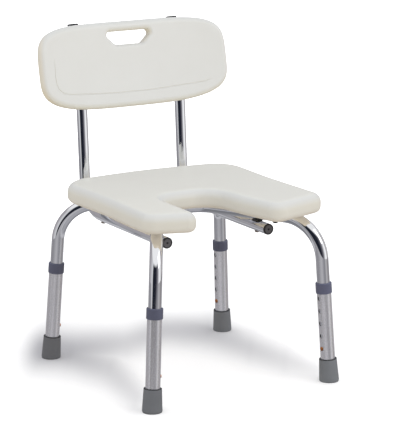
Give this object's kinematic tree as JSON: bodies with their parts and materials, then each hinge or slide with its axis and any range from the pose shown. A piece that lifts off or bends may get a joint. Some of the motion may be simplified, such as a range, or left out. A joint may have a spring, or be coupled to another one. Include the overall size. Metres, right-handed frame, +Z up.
{
  "type": "bath seat with backrest",
  "caption": "Height-adjustable bath seat: moulded white seat with an open front cut-out, slotted backrest, bent chrome tube frame and telescoping legs on rubber feet.",
  "frame": {"origin": "on the floor under the middle of the bounding box", "axes": "+Z up, the sitter faces -Y, +X to the right as seen from the front"},
  "size_m": [0.4456, 0.5096, 0.6722],
  "materials": {
    "seat_plastic": "warm white, fine texture, semi-matt",
    "back_plastic": "warm white, fine texture, semi-matt",
    "chrome": "polished plated tube",
    "aluminium": "satin anodised tube",
    "collar_plastic": "blue-grey, semi-matt",
    "foot_rubber": "dark grey, matt",
    "copper": "copper-coloured plating",
    "brass_insert": "turned brass",
    "spring_steel": "plain steel strip and washer",
    "bolt_steel": "brownish plated steel",
    "black_plastic": "black to charcoal, semi-matt"
  },
  "bodies": {
    "frame": {"seat_panel": "seat_plastic", "backrest_panel": "back_plastic", "front_leg_arch": "chrome", "rear_leg_arch": "chrome", "back_post_left": "chrome", "post_front_plug_left": "black_plastic", "post_top_plug_left": "black_plastic", "back_post_right": "chrome", "post_front_plug_right": "black_plastic", "post_top_plug_right": "black_plastic", "tube_saddle_front_left": "black_plastic", "tube_saddle_front_right": "black_plastic", "tube_saddle_rear_left": "black_plastic", "tube_saddle_rear_right": "black_plastic", "seat_saddle_left": "black_plastic", "seat_saddle_right": "black_plastic", "frame_bolt_front_left": "bolt_steel", "frame_bolt_front_right": "bolt_steel", "frame_bolt_rear_left": "bolt_steel", "frame_bolt_rear_right": "bolt_steel", "seat_bolt_left": "bolt_steel", "seat_bolt_right": "bolt_steel", "seat_insert_front_left": "brass_insert", "seat_insert_front_right": "brass_insert", "seat_insert_rear_left": "brass_insert", "seat_insert_rear_right": "brass_insert", "seat_insert_saddle_left": "brass_insert", "seat_insert_saddle_right": "brass_insert", "backrest_screw_lower_left": "bolt_steel", "backrest_screw_lower_right": "bolt_steel", "backrest_screw_upper_left": "bolt_steel", "backrest_screw_upper_right": "bolt_steel", "button_spring_front_left": "spring_steel", "button_spring_front_right": "spring_steel", "button_spring_rear_left": "spring_steel", "button_spring_rear_right": "spring_steel"},
    "leg_front_left": {"lower_leg_front_left": "aluminium", "leg_collar_front_left": "collar_plastic", "foot_front_left": "foot_rubber", "foot_washer_front_left": "spring_steel"},
    "button_front_left": {"snap_button_front_left": "copper"},
    "leg_front_right": {"lower_leg_front_right": "aluminium", "leg_collar_front_right": "collar_plastic", "foot_front_right": "foot_rubber", "foot_washer_front_right": "spring_steel"},
    "button_front_right": {"snap_button_front_right": "copper"},
    "leg_rear_left": {"lower_leg_rear_left": "aluminium", "leg_collar_rear_left": "collar_plastic", "foot_rear_left": "foot_rubber", "foot_washer_rear_left": "spring_steel"},
    "button_rear_left": {"snap_button_rear_left": "copper"},
    "leg_rear_right": {"lower_leg_rear_right": "aluminium", "leg_collar_rear_right": "collar_plastic", "foot_rear_right": "foot_rubber", "foot_washer_rear_right": "spring_steel"},
    "button_rear_right": {"snap_button_rear_right": "copper"}
  },
  "joints": [
    {"name": "front_left_height", "type": "slide", "parent": "frame", "child": "leg_front_left", "axis": [-0.056, -0.0419, -0.9976], "range_m": [0, 0.1016], "deforming": ["snap_button_front_left"]},
    {"name": "front_left_button", "type": "slide", "parent": "frame", "child": "button_front_left", "axis": [-0.9887, 0.1414, 0.0495], "range_m": [0, 0.004], "stiffness_N_per_m": 500, "deforming": ["button_spring_front_left"]},
    {"name": "front_right_height", "type": "slide", "parent": "frame", "child": "leg_front_right", "axis": [0.056, -0.0419, -0.9976], "range_m": [0, 0.1016], "deforming": ["snap_button_front_right"]},
    {"name": "front_right_button", "type": "slide", "parent": "frame", "child": "button_front_right", "axis": [0.9887, 0.1414, 0.0495], "range_m": [0, 0.004], "stiffness_N_per_m": 500, "deforming": ["button_spring_front_right"]},
    {"name": "rear_left_height", "type": "slide", "parent": "frame", "child": "leg_rear_left", "axis": [-0.056, 0.0419, -0.9976], "range_m": [0, 0.1016], "deforming": ["snap_button_rear_left"]},
    {"name": "rear_left_button", "type": "slide", "parent": "frame", "child": "button_rear_left", "axis": [-0.9887, 0.1369, 0.0612], "range_m": [0, 0.004], "stiffness_N_per_m": 500, "deforming": ["button_spring_rear_left"]},
    {"name": "rear_right_height", "type": "slide", "parent": "frame", "child": "leg_rear_right", "axis": [0.056, 0.0419, -0.9976], "range_m": [0, 0.1016], "deforming": ["snap_button_rear_right"]},
    {"name": "rear_right_button", "type": "slide", "parent": "frame", "child": "button_rear_right", "axis": [0.9887, 0.1369, 0.0612], "range_m": [0, 0.004], "stiffness_N_per_m": 500, "deforming": ["button_spring_rear_right"]}
  ]
}
